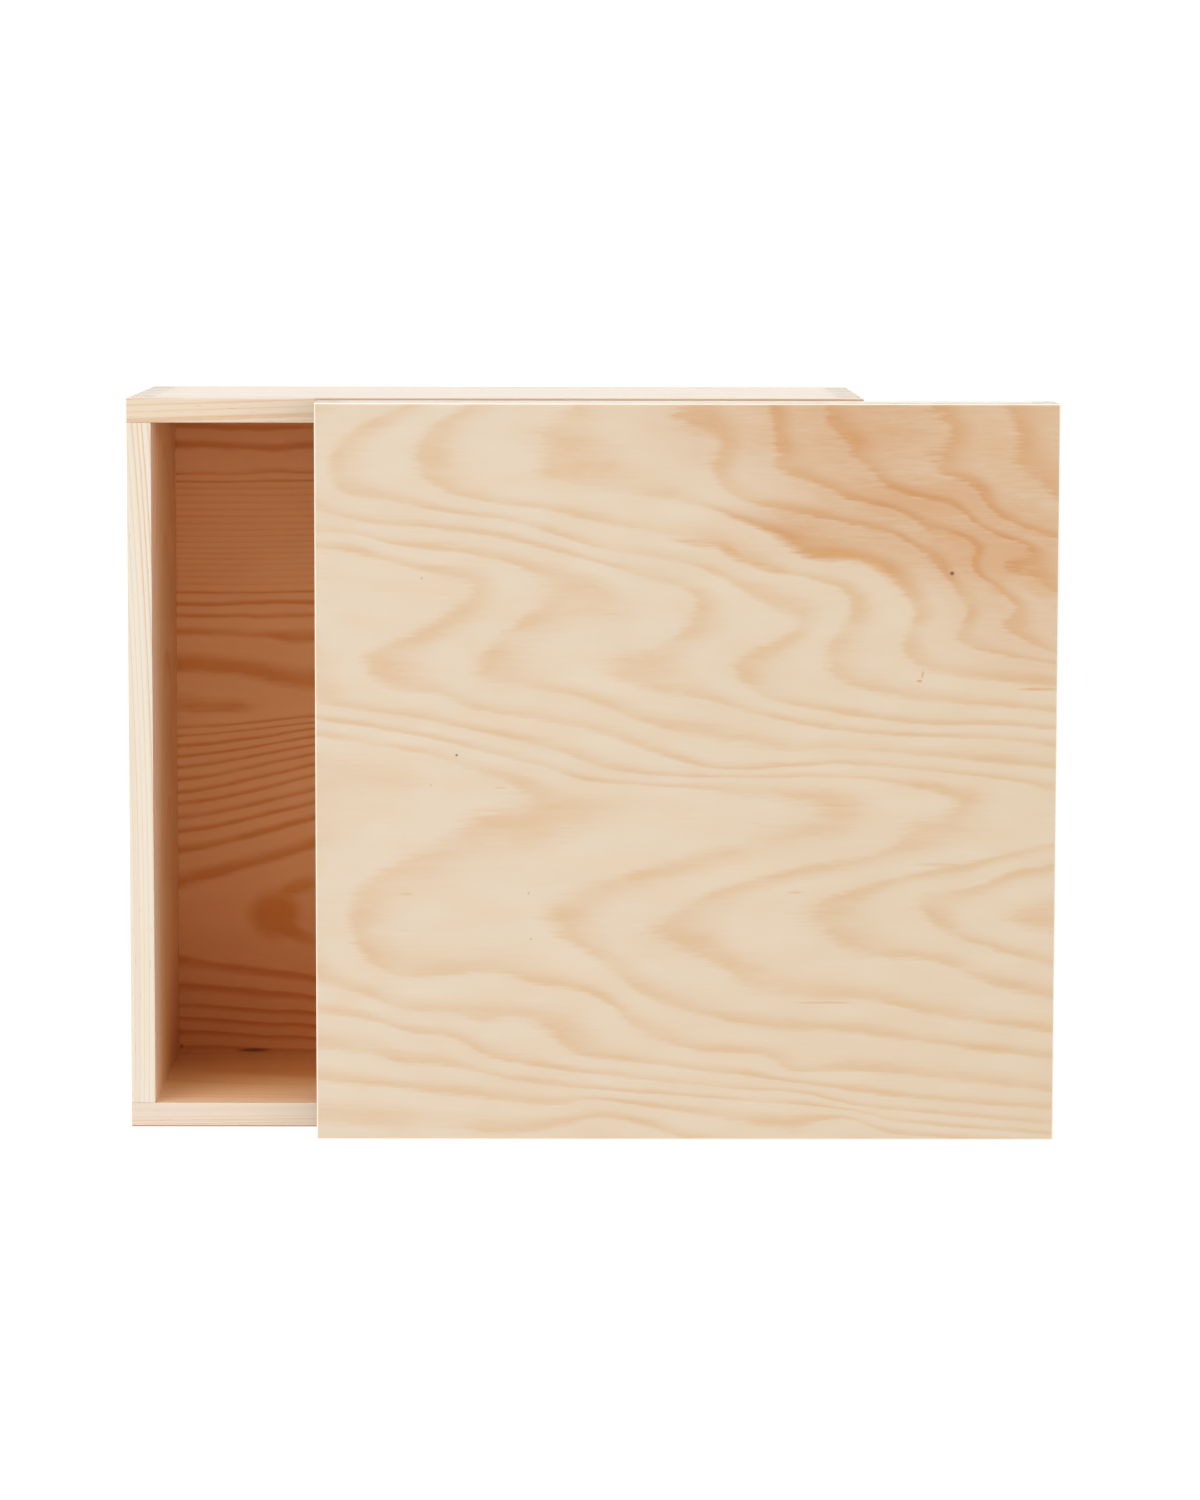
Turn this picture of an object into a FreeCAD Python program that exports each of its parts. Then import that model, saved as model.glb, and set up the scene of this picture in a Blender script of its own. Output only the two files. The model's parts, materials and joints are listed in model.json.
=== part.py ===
import FreeCAD, Part
import os

# Square wooden box with a deep sliding lid, standing on one long side with its open face towards -Y.
# Frame: origin at the centre of the face it stands on, +X the way the lid slides open,
# +Y into the box away from the lid, +Z up. All sizes are in millimetres.

# Box
BOX_WIDTH = 300.0             # outside, along X
BOX_HEIGHT = 300.0            # outside, along Z
BOX_DEPTH = 140.0             # outside, along Y
BOARD_THICKNESS = 10.0        # the four boards of the box and the four rails of the lid
BOX_FINGER_WIDTH = 15.0       # aimed at; the fingers divide the depth evenly

# Back panel and the groove that holds it
BACK_THICKNESS = 5.0
BACK_SETBACK = 7.0            # rear edges of the boards to the rear face of the panel
GROOVE_DEPTH = 5.0
GROOVE_END_PLAY = 0.5         # panel edge to groove bottom
GROOVE_FACE_PLAY = 0.1        # panel face to groove wall

# Lid
LID_PANEL_THICKNESS = 6.0
LID_PANEL_ARRIS = 1.0         # chamfer round the front edges of the panel
LID_RAIL_DEPTH = 24.0
LID_FINGER_WIDTH = 8.0        # aimed at; the fingers divide the rail depth evenly
LID_END_CLEARANCE = 0.3       # how much the lid is shorter than the box at each end
LID_FOOT_CLEARANCE = 0.3      # under the lid while the box stands
LID_HEAD_CLEARANCE = 0.7      # how much the lid is lower than the top of the box
LID_FACE_CLEARANCE = 1.0      # rear edges of the rails to the front edges of the box
LID_OPEN_AT_REST = 77.5       # how far the lid is slid open

# Guide strips inside the long rails, and the strip that fills the slot over the lowered end board
GUIDE_THICKNESS = 6.0
GUIDE_REACH = 6.0             # into the box, past its front edges
GUIDE_PASS_CLEARANCE = 1.0    # guide strips to the lowered end board as they pass over it

# Brads through the guide strips into the long rails
BRADS_PER_STRIP = 4
BRAD_END_DISTANCE = 25.0      # from the ends of a strip to its outermost brads
BRAD_COVER = 2.0              # wood left between the point of a brad and the outside of the rail
BRAD_SHANK_RADIUS = 0.6
BRAD_HEAD_RADIUS = 1.2
BRAD_HEAD_THICKNESS = 0.6
BRAD_POINT_LENGTH = 1.5
BRAD_HOLE_PLAY = 0.05         # radial

# Places that follow from the sizes above
BOX_LEFT = -BOX_WIDTH / 2
BOX_RIGHT = BOX_WIDTH / 2
BOX_FRONT = -BOX_DEPTH / 2
BOX_REAR = BOX_DEPTH / 2
BACK_REAR = BOX_REAR - BACK_SETBACK
BACK_FRONT = BACK_REAR - BACK_THICKNESS
LOWERED_FRONT = BOX_FRONT + GUIDE_REACH + GUIDE_PASS_CLEARANCE

LID_LEFT = BOX_LEFT + LID_END_CLEARANCE + LID_OPEN_AT_REST
LID_RIGHT = BOX_RIGHT - LID_END_CLEARANCE + LID_OPEN_AT_REST
LID_BOTTOM = LID_FOOT_CLEARANCE
LID_TOP = BOX_HEIGHT - LID_HEAD_CLEARANCE
RAIL_REAR = BOX_FRONT - LID_FACE_CLEARANCE
RAIL_FRONT = RAIL_REAR - LID_RAIL_DEPTH
LID_FRONT = RAIL_FRONT - LID_PANEL_THICKNESS

RECESS_LEFT = LID_LEFT + BOARD_THICKNESS
RECESS_RIGHT = LID_RIGHT - BOARD_THICKNESS
RECESS_BOTTOM = LID_BOTTOM + BOARD_THICKNESS
RECESS_TOP = LID_TOP - BOARD_THICKNESS
GUIDE_REAR = BOX_FRONT + GUIDE_REACH


def block(x_range, y_range, z_range):
    """A rectangular solid between two limits along each axis."""
    size = [high - low for low, high in (x_range, y_range, z_range)]
    corner = FreeCAD.Vector(x_range[0], y_range[0], z_range[0])
    return Part.makeBox(size[0], size[1], size[2], corner)


def finger_spans(y_range, finger_width):
    """Equal spans along Y, odd in number, so that both outermost fingers are on the same board."""
    front, rear = y_range
    count = 2 * round(((rear - front) / finger_width - 1) / 2) + 1
    step = (rear - front) / count
    return [(front + step * index, front + step * (index + 1)) for index in range(count)]


def cut_from(solid, tools):
    """The solid with every tool cut from it, as one clean solid."""
    return solid.cut(Part.makeCompound(tools)).removeSplitter().Solids[0]


def corner_sockets(x_limits, z_limits, thickness, spans):
    """Blocks at the four corners of a frame of boards, one for each corner and span along Y."""
    left, right = x_limits
    bottom, top = z_limits
    x_ranges = [(left, left + thickness), (right - thickness, right)]
    z_ranges = [(bottom, bottom + thickness), (top - thickness, top)]
    return [block(x_range, span, z_range) for span in spans for x_range in x_ranges for z_range in z_ranges]


def back_groove():
    """The space that the grooves leave for the back panel, reaching into all four boards."""
    reach = BOARD_THICKNESS - GROOVE_DEPTH
    x_range = (BOX_LEFT + reach, BOX_RIGHT - reach)
    y_range = (BACK_FRONT - GROOVE_FACE_PLAY, BACK_REAR + GROOVE_FACE_PLAY)
    z_range = (reach, BOX_HEIGHT - reach)
    return block(x_range, y_range, z_range)


def box_sockets(first):
    """The finger sockets of the box's corners: first is 0 for the end boards, 1 for the side boards."""
    spans = finger_spans((BOX_FRONT, BOX_REAR), BOX_FINGER_WIDTH)
    return corner_sockets((BOX_LEFT, BOX_RIGHT), (0.0, BOX_HEIGHT), BOARD_THICKNESS, spans[first::2])


def side_board(z_low):
    """A full-width board of the box, with its finger sockets and its groove."""
    board = block((BOX_LEFT, BOX_RIGHT), (BOX_FRONT, BOX_REAR), (z_low, z_low + BOARD_THICKNESS))
    return cut_from(board, box_sockets(1) + [back_groove()])


def end_board(x_low, front):
    """A board between the side boards, whose front edge may be lowered."""
    board = block((x_low, x_low + BOARD_THICKNESS), (front, BOX_REAR), (0.0, BOX_HEIGHT))
    return cut_from(board, box_sockets(0) + [back_groove()])


def back_panel():
    """The plywood back, with play in its grooves."""
    reach = BOARD_THICKNESS - GROOVE_DEPTH + GROOVE_END_PLAY
    x_range = (BOX_LEFT + reach, BOX_RIGHT - reach)
    return block(x_range, (BACK_FRONT, BACK_REAR), (reach, BOX_HEIGHT - reach))


def lid_panel():
    """The face of the lid, with its front edges chamfered."""
    panel = block((LID_LEFT, LID_RIGHT), (LID_FRONT, RAIL_FRONT), (LID_BOTTOM, LID_TOP))
    front_face = min(panel.Faces, key=lambda face: face.CenterOfMass.y)
    return panel.makeChamfer(LID_PANEL_ARRIS, front_face.Edges).Solids[0]


def lid_sockets(first):
    """The finger sockets of the lid's corners: first is 0 for the end rails, 1 for the long rails."""
    spans = finger_spans((RAIL_FRONT, RAIL_REAR), LID_FINGER_WIDTH)
    return corner_sockets((LID_LEFT, LID_RIGHT), (LID_BOTTOM, LID_TOP), BOARD_THICKNESS, spans[first::2])


def lid_rail(z_low, brads):
    """A long rail of the lid, with its finger sockets and the holes for its brads."""
    z_range = (z_low, z_low + BOARD_THICKNESS)
    rail = block((LID_LEFT, LID_RIGHT), (RAIL_FRONT, RAIL_REAR), z_range)
    return cut_from(rail, lid_sockets(1) + [brad_hole(*brad) for brad in brads])


def lid_end_rail(x_low):
    """A short rail of the lid."""
    x_range = (x_low, x_low + BOARD_THICKNESS)
    rail = block(x_range, (RAIL_FRONT, RAIL_REAR), (LID_BOTTOM, LID_TOP))
    return cut_from(rail, lid_sockets(0))


def guide_strip(z_low, brads):
    """A strip inside a long rail, from the lid's panel to its reach inside the box, holed for its brads."""
    z_range = (z_low, z_low + GUIDE_THICKNESS)
    strip = block((RECESS_LEFT, RECESS_RIGHT), (RAIL_FRONT, GUIDE_REAR), z_range)
    return cut_from(strip, [brad_hole(*brad) for brad in brads])


def closing_strip():
    """The strip behind the right end rail, between the side boards of the box when the lid is shut."""
    return block((RECESS_RIGHT, LID_RIGHT), (RAIL_REAR, GUIDE_REAR), (RECESS_BOTTOM, RECESS_TOP))


def brad_places(head_z, direction):
    """The head centres and directions of the brads of one guide strip, evenly spaced along it."""
    first = RECESS_LEFT + BRAD_END_DISTANCE
    step = (RECESS_RIGHT - BRAD_END_DISTANCE - first) / (BRADS_PER_STRIP - 1)
    middle = (RAIL_FRONT + RAIL_REAR) / 2
    towards = FreeCAD.Vector(0, 0, direction)
    return [(FreeCAD.Vector(first + step * index, middle, head_z), towards) for index in range(BRADS_PER_STRIP)]


def brad_length():
    """From the face of a guide strip to the point of a brad inside the rail."""
    return GUIDE_THICKNESS + BOARD_THICKNESS - BRAD_COVER


def brad_hole(head, towards):
    """The hole of one brad, with play round its head and shank."""
    head_hole = Part.makeCylinder(BRAD_HEAD_RADIUS + BRAD_HOLE_PLAY, BRAD_HEAD_THICKNESS, head, towards)
    shank_hole = Part.makeCylinder(BRAD_SHANK_RADIUS + BRAD_HOLE_PLAY, brad_length(), head, towards)
    return head_hole.fuse(shank_hole)


def brad(head, towards):
    """One brad, its flat head flush with the face of its guide strip."""
    straight = brad_length() - BRAD_POINT_LENGTH
    disc = Part.makeCylinder(BRAD_HEAD_RADIUS, BRAD_HEAD_THICKNESS, head, towards)
    shank = Part.makeCylinder(BRAD_SHANK_RADIUS, straight, head, towards)
    point_base = head + towards * straight
    point = Part.makeCone(BRAD_SHANK_RADIUS, 0.0, BRAD_POINT_LENGTH, point_base, towards)
    return disc.fuse([shank, point]).removeSplitter().Solids[0]


def build_nodes():
    """Every piece of the box, by the name of its node."""
    lower_brads = brad_places(RECESS_BOTTOM + GUIDE_THICKNESS, -1)
    upper_brads = brad_places(RECESS_TOP - GUIDE_THICKNESS, 1)
    return {
        "side_board_upper": side_board(BOX_HEIGHT - BOARD_THICKNESS),
        "side_board_lower": side_board(0.0),
        "end_board_left": end_board(BOX_LEFT, BOX_FRONT),
        "end_board_right": end_board(BOX_RIGHT - BOARD_THICKNESS, LOWERED_FRONT),
        "back_panel": back_panel(),
        "lid_panel": lid_panel(),
        "lid_rail_upper": lid_rail(RECESS_TOP, upper_brads),
        "lid_rail_lower": lid_rail(LID_BOTTOM, lower_brads),
        "lid_end_rail_left": lid_end_rail(LID_LEFT),
        "lid_end_rail_right": lid_end_rail(RECESS_RIGHT),
        "guide_strip_upper": guide_strip(RECESS_TOP - GUIDE_THICKNESS, upper_brads),
        "guide_strip_lower": guide_strip(RECESS_BOTTOM, lower_brads),
        "closing_strip": closing_strip(),
        "guide_strip_brads": Part.makeCompound([brad(*place) for place in lower_brads + upper_brads]),
    }


os.makedirs("parts", exist_ok=True)
for name, shape in build_nodes().items():
    shape.exportStep("parts/" + name + ".step")
    print(name, len(shape.Solids), "solids", round(shape.Volume / 1000, 2), "cm3", shape.isValid())
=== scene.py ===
"""A square box of pale pine with a sliding lid: its looks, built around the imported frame.

Everything is in metres, in the frame's own axes: X the way the lid slides open, Y into the box, Z up.
"""

import json
import logging
import math
from collections.abc import Sequence
from dataclasses import dataclass, field
from enum import Enum
from typing import Any

import bmesh
import bpy
import numpy as np
from mathutils import Matrix, Vector
from mathutils.bvhtree import BVHTree


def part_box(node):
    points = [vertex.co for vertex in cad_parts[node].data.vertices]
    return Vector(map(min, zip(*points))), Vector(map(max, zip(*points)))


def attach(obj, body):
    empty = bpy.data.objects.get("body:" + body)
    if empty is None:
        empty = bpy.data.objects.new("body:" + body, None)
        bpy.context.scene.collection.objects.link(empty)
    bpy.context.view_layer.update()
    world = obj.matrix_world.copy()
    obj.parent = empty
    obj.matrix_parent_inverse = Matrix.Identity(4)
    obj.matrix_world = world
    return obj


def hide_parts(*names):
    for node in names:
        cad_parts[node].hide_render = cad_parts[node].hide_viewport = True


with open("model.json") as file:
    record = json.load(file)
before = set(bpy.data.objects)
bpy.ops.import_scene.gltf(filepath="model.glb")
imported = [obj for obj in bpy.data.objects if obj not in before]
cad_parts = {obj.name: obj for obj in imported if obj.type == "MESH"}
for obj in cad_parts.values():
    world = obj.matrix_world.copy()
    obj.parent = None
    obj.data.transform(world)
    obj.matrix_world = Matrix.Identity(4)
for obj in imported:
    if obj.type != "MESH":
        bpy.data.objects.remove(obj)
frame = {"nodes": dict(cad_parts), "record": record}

LOG = logging.getLogger("sliding_lid_box")
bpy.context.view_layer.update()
MM = 0.001

Colour = tuple[float, float, float, float]
Triple = tuple[float, float, float]


def shade(red: int, green: int, blue: int) -> Colour:
    """Gives the linear colour of a display colour.

    Args:
        red: Red, from 0 to 255.
        green: Green, from 0 to 255.
        blue: Blue, from 0 to 255.

    Returns:
        The linear red, green and blue, and an alpha of 1.
    """
    parts = [part / 255 for part in (red, green, blue)]
    linear = [part / 12.92 if part <= 0.04045 else ((part + 0.055) / 1.055) ** 2.4 for part in parts]
    return (*linear, 1.0)


WHITE = shade(255, 255, 255)


# Shader maths


class Signal:
    """A value that changes over a surface: an output socket in a node tree, written in expressions."""

    def __init__(self, paint: "Paint", socket: bpy.types.NodeSocket) -> None:
        """Wraps an output socket of the paint's node tree."""
        self.paint = paint
        self.socket = socket

    def __add__(self, other: "Signal | float") -> "Signal":
        """The sum."""
        return self.paint.maths("ADD", self, other)

    def __sub__(self, other: "Signal | float") -> "Signal":
        """The difference."""
        return self.paint.maths("SUBTRACT", self, other)

    def __rsub__(self, other: float) -> "Signal":
        """The difference, from a plain number."""
        return self.paint.maths("SUBTRACT", other, self)

    def __mul__(self, other: "Signal | float") -> "Signal":
        """The product."""
        return self.paint.maths("MULTIPLY", self, other)

    def __truediv__(self, other: "Signal | float") -> "Signal":
        """The quotient."""
        return self.paint.maths("DIVIDE", self, other)

    def __pow__(self, other: "Signal | float") -> "Signal":
        """The power."""
        return self.paint.maths("POWER", self, other)

    def __abs__(self) -> "Signal":
        """The size without its sign."""
        return self.paint.maths("ABSOLUTE", self)

    __radd__ = __add__
    __rmul__ = __mul__

    def floor(self) -> "Signal":
        """The whole number below."""
        return self.paint.maths("FLOOR", self)

    def fraction(self) -> "Signal":
        """What is left over the whole number below."""
        return self.paint.maths("FRACT", self)

    def clamped(self) -> "Signal":
        """The value, kept from 0 to 1."""
        return self.paint.signal("ShaderNodeClamp", None, self)

    def eased(self, start: float, end: float) -> "Signal":
        """Rises smoothly from 0, where the value is at the start, to 1, where it is at the end."""
        settings = {"interpolation_type": "SMOOTHSTEP"}
        return self.paint.signal("ShaderNodeMapRange", settings, self, start, end, 0.0, 1.0)


class Paint:
    """The node tree of one material or world, with the few calls that finishes are written in."""

    def __init__(self, owner: bpy.types.Material | bpy.types.World) -> None:
        """Starts an empty tree.

        Args:
            owner: The material or world that the nodes are for.
        """
        owner.use_nodes = True
        self.owner = owner
        self.tree = owner.node_tree
        self.tree.nodes.clear()

    def node(self, kind: str, settings: dict[str, Any] | None = None, *values: Any,
             **sockets: Any) -> bpy.types.Node:
        """Adds a node.

        Args:
            kind: The node's type.
            settings: Its own settings, which are set before its sockets are filled.
            values: Numbers, colours or signals for its live inputs, in order.
            sockets: The same for inputs by name, with _ for a space.

        Returns:
            The node.
        """
        made = self.tree.nodes.new(kind)
        for name, value in (settings or {}).items():
            setattr(made, name, value)
        live = [socket for socket in made.inputs if socket.enabled]
        named = {socket.name.replace(" ", "_"): socket for socket in live}
        pairs = [*zip(live, values), *((named[name], value) for name, value in sockets.items())]
        for socket, value in pairs:
            if isinstance(value, Signal):
                self.tree.links.new(value.socket, socket)
            else:
                socket.default_value = value
        return made

    def signal(self, kind: str, settings: dict[str, Any] | None = None, *values: Any,
               **sockets: Any) -> Signal:
        """Adds a node in the same way, and takes its first live output."""
        made = self.node(kind, settings, *values, **sockets)
        return Signal(self, next(socket for socket in made.outputs if socket.enabled))

    def maths(self, operation: str, *values: Signal | float) -> Signal:
        """One step of arithmetic."""
        return self.signal("ShaderNodeMath", {"operation": operation}, *values)

    def vector(self, operation: str, *values: Signal | Sequence[float], **sockets: Any) -> Signal:
        """One step of vector arithmetic."""
        return self.signal("ShaderNodeVectorMath", {"operation": operation}, *values, **sockets)

    def mix(self, factor: Signal | float, first: Signal | Colour, second: Signal | Colour) -> Signal:
        """Fades one colour into another."""
        return self.signal("ShaderNodeMix", {"data_type": "RGBA"}, Factor=factor, A=first, B=second)

    def tinted(self, amount: Signal, colour: Signal, tint: Signal | Sequence[float]) -> Signal:
        """The colour, faded into itself multiplied by a tint."""
        return self.mix(amount, colour, self.vector("MULTIPLY", colour, tint))

    def lit(self, colour: Signal, brightness: Signal) -> Signal:
        """The colour, with its brightness multiplied."""
        return self.vector("SCALE", colour, Scale=brightness)

    def within(self, place: Signal, low: Triple, high: Triple, blur: float) -> Signal:
        """Finds the points in a box.

        Args:
            place: The point that is looked at.
            low: The box's lowest corner.
            high: Its highest corner.
            blur: How far in from its faces it is full.

        Returns:
            A value that is 1 in the box and 0 outside it.
        """
        spans = [
            (part - start).eased(0.0, blur) * (end - part).eased(0.0, blur)
            for part, start, end in zip(self.split(place), low, high)
        ]
        return spans[0] * spans[1] * spans[2]

    def place(self) -> Signal:
        """The point on the piece, in metres."""
        node = self.node("ShaderNodeTexCoord")
        return Signal(self, node.outputs["Object"])

    def facing(self) -> tuple[Signal, Signal, Signal]:
        """The three parts of the surface's normal, without their signs."""
        node = self.node("ShaderNodeTexCoord")
        return tuple(abs(part) for part in self.split(Signal(self, node.outputs["Normal"])))

    def split(self, vector: Signal) -> tuple[Signal, Signal, Signal]:
        """The three parts of a vector."""
        node = self.node("ShaderNodeSeparateXYZ", None, vector)
        return tuple(Signal(self, socket) for socket in node.outputs)

    def attribute(self, name: str) -> Signal:
        """A number stored on the mesh."""
        node = self.node("ShaderNodeAttribute", {"attribute_name": name})
        return Signal(self, node.outputs["Fac"])

    def noise(self, place: Signal, size: Triple, detail: float = 2.0, roughness: float = 0.5) -> Signal:
        """Cloudy noise about zero.

        Args:
            place: The point that it is looked up at.
            size: The size of its clouds along X, Y and Z, in metres.
            detail: How many finer layers it has.
            roughness: How strong the finer layers are.

        Returns:
            A value that is mostly from -0.5 to 0.5.
        """
        scaled = self.vector("MULTIPLY", place, tuple(1 / length for length in size))
        sockets = {"Scale": 1.0, "Detail": detail, "Roughness": roughness}
        return self.signal("ShaderNodeTexNoise", None, Vector=scaled, **sockets) - 0.5

    def surface(self, colour: Signal, roughness: Signal, height: Signal, relief: float,
                gloss: float = 0.5, metallic: float = 0.0, glow: float = 0.0) -> bpy.types.Material:
        """Ends a material in a Principled surface.

        Args:
            colour: The base colour.
            roughness: The roughness.
            height: The height of the fine relief, from 0 to 1.
            relief: What a height of 1 stands for, in metres.
            gloss: The strength of the plain reflection, where 0.5 is that of glass.
            metallic: 1 for bare metal.
            glow: The strength of its own white light.

        Returns:
            The finished material.
        """
        bump = self.signal("ShaderNodeBump", None, Strength=1.0, Distance=relief, Height=height)
        body = self.signal("ShaderNodeBsdfPrincipled", None, Base_Color=colour, Roughness=roughness,
                           Normal=bump, Metallic=metallic, Specular_IOR_Level=gloss,
                           Emission_Color=WHITE, Emission_Strength=glow)
        self.node("ShaderNodeOutputMaterial", None, Surface=body)
        return self.owner


# Finishes


FIBRE_RELIEF = 0.03 * MM
CLOUDED_PINE = shade(195, 174, 148)
RESIN_CANAL = shade(152, 102, 61)
SAWN_PINE = shade(182, 148, 110)
RUBBED_PINE = shade(214, 201, 184)
PATCH_TINT = (0.99, 0.95, 0.9)
RESIN = shade(176, 128, 70)
KNOT = shade(96, 62, 38)
PLY_SIDE = shade(210, 193, 170)
PLY_END = shade(186, 151, 113)
PLY_GLUE = shade(150, 100, 62)
# Paler rim colour: partly sanding wear, partly a painted highlight.
RIM_WEAR_AND_HIGHLIGHT = shade(240, 232, 220)


class Grain(Enum):
    """The way that a board's fibres run."""

    ACROSS = 0
    UPRIGHT = 2

    def sizes(self, length: float, width: float) -> Triple:
        """The size along X, Y and Z of clouds of noise with this length along the fibres and this width."""
        return tuple(length if axis == self.value else width for axis in range(3))


@dataclass(frozen=True)
class PaintedInteriorLight:
    """The space within the box, whose wood gets painted light and shade: brighter and more orange near the
    opening, deep orange further in, and darker low down at the back.

    Attributes:
        low: The space's lowest corner.
        high: Its highest corner.
        fade: How far in from the opening the wood gets its painted light near the mouth.
        reach: How far in the deeper painted light is in full.
        mouth_painted_light: What the wood's colour is multiplied by near the opening, as painted light.
        deep_painted_light: The same further in, as painted orange shade and bounce light.
        shade_height: How far up from the space's floor the back is painted darker, as painted shade.
        shade_depth: How far in that painted shade begins, and how far in it is darkest.
        shade_tint: What the wood's colour is multiplied by in that painted shade.
        blur: How far in from the space's sides all this is full.
    """

    low: Triple = (-0.1405, -0.070, 0.0095)
    high: Triple = (0.1405, 0.0585, 0.2905)
    fade: float = 0.002
    reach: float = 0.06
    mouth_painted_light: Colour = (1.64, 1.24, 0.94, 1.0)
    deep_painted_light: Colour = (1.58, 1.1, 0.62, 1.0)
    shade_height: float = 0.055
    shade_depth: tuple[float, float] = (0.03, 0.11)
    shade_tint: Triple = (0.76, 0.57, 0.4)
    blur: float = 0.2 * MM

    def paint_light(self, paint: Paint, place: Signal, colour: Signal) -> Signal:
        """Paints the space's light and shade into a colour.

        Args:
            paint: The node tree.
            place: The point on the piece.
            colour: The colour without the painted light.

        Returns:
            The colour, which is left as it is outside.
        """
        painted_interior = paint.within(place, self.low, self.high, self.blur)
        _, inwards, height = paint.split(place)
        depth = inwards - self.low[1]
        tint = paint.mix(depth.eased(self.fade, self.reach), self.mouth_painted_light, self.deep_painted_light)
        colour = paint.tinted(depth.eased(0.0, self.fade) * painted_interior, colour, tint)
        # Painted shade, darker low down at the back of the space.
        shaded_low = 1 - (height - self.low[2]).eased(0.0, self.shade_height)
        return paint.tinted(shaded_low * depth.eased(*self.shade_depth) * painted_interior, colour, self.shade_tint)


@dataclass(frozen=True)
class ShadowLine:
    """A painted shadow: a strip of the wood painted darker where shade falls, in a gap or along a bottom
    edge.

    Attributes:
        low: Its lowest corner.
        high: Its highest corner.
        strength: How strongly it shows.
        colour: Its colour.
        blur: How far in from its border it is full.
    """

    low: Triple
    high: Triple
    strength: float = 0.8
    colour: Colour = shade(132, 76, 52)
    blur: float = 0.3 * MM

    def darken(self, paint: Paint, place: Signal, colour: Signal) -> Signal:
        """Paints the shadow into the colour of the place, if it is within the strip."""
        shadowed = paint.within(place, self.low, self.high, self.blur) * self.strength
        return paint.mix(shadowed, colour, self.colour)


@dataclass(frozen=True)
class SolidPine:
    """Bare planed pine, cut from one place in a log.

    Attributes:
        grain: The way that the fibres run.
        pith: Where the log's middle passes, on the two axes across the grain.
        drift: How far the middle moves on those axes in a metre of length.
        ring_width: The mean width of a year's growth.
        seed: Shifts the noise, so that no two boards are alike.
        sweep: How strongly the middle bends away on the first of those axes, as 1/m.
        wander: How far the rings bend to either side along the board.
        early: The colour of the wide pale bands.
        late: The colour of the narrow dark bands.
        painted_interior: The painted light and shade of the space that the board closes off.
        shadow_lines: Painted shadows, strips painted darker where shade falls.
    """

    grain: Grain
    pith: tuple[float, float]
    drift: tuple[float, float] = (0.0, 0.0)
    ring_width: float = 0.0022
    seed: float = 0.0
    sweep: float = 0.0
    wander: float = 0.003
    early: Colour = shade(199, 190, 175)
    late: Colour = shade(186, 138, 88)
    painted_interior: PaintedInteriorLight = PaintedInteriorLight()
    shadow_lines: tuple[ShadowLine, ...] = ()

    def dress(self, name: str) -> bpy.types.Material:
        """Makes the material.

        Args:
            name: The material's name.

        Returns:
            The material.
        """
        paint = Paint(bpy.data.materials.new(name))
        place = paint.place()
        drifting = paint.vector("ADD", place, (self.seed, 2 * self.seed, 3 * self.seed))
        radius = self.radius(paint, place, drifting)
        uneven = paint.signal("ShaderNodeTexNoise", {"noise_dimensions": "1D"}, W=radius / 0.009 + self.seed)
        frayed = paint.noise(drifting, self.grain.sizes(0.006, 0.0007))
        count = radius / self.ring_width + uneven * 1.6 + frayed * 0.2
        year = count.fraction()
        depth = paint.signal("ShaderNodeTexWhiteNoise", {"noise_dimensions": "1D"}, W=count.floor())
        late = year ** 3.4 * ((1 - year) * 16).clamped() * (depth * 0.4 + 0.6)
        cloud = paint.noise(drifting, self.grain.sizes(0.09, 0.03))
        streak = paint.noise(drifting, self.grain.sizes(0.05, 0.0014), 3.0, 0.65)
        fibre = paint.noise(drifting, self.grain.sizes(0.008, 0.0004), 1.0)
        canal = paint.noise(drifting, self.grain.sizes(0.007, 0.0005), 0.0).eased(0.24, 0.32)
        sawn_across = paint.facing()[self.grain.value].eased(0.5, 0.95)
        arris = paint.attribute("arris")
        colour = paint.mix(late, self.early, self.late)
        colour = paint.mix((cloud + 0.05).clamped() * 0.7, colour, CLOUDED_PINE)
        colour = paint.mix(canal * 0.3, colour, RESIN_CANAL)
        colour = paint.mix(sawn_across * 0.08, colour, SAWN_PINE)
        colour = paint.mix(arris * 0.3, colour, RUBBED_PINE)
        colour = paint.lit(colour, 1 + streak * 0.06 + fibre * 0.04 + cloud * 0.05)
        # Painted light and shade of the box's interior, tinted into the wood.
        colour = self.painted_interior.paint_light(paint, place, colour)
        # Painted shadows in gaps and along the bottom edge.
        for shadow_line in self.shadow_lines:
            colour = shadow_line.darken(paint, place, colour)
        roughness = 0.36 + fibre * 0.14 - late * 0.06 + sawn_across * 0.15
        height = 0.5 + fibre * 0.6 + streak * 0.3 + late * 0.35
        return paint.surface(colour, roughness, height, FIBRE_RELIEF)

    def radius(self, paint: Paint, place: Signal, drifting: Signal) -> Signal:
        """The distance from the middle of the log.

        Args:
            paint: The node tree.
            place: The point on the piece.
            drifting: The same point, shifted by the seed.

        Returns:
            The distance in metres, a little uneven along the log.
        """
        parts = list(paint.split(place))
        along = parts.pop(self.grain.value)
        parts[0] -= along * along * self.sweep
        sizes = self.grain.sizes(0.25, 0.05)
        elsewhere = paint.vector("ADD", drifting, (3, 5, 7))
        bends = [paint.noise(point, sizes, 1.0) for point in (drifting, elsewhere)]
        squares = [
            (part - centre - along * drift + bend * self.wander) ** 2
            for part, centre, drift, bend in zip(parts, self.pith, self.drift, bends)
        ]
        return (squares[0] + squares[1]) ** 0.5


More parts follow.
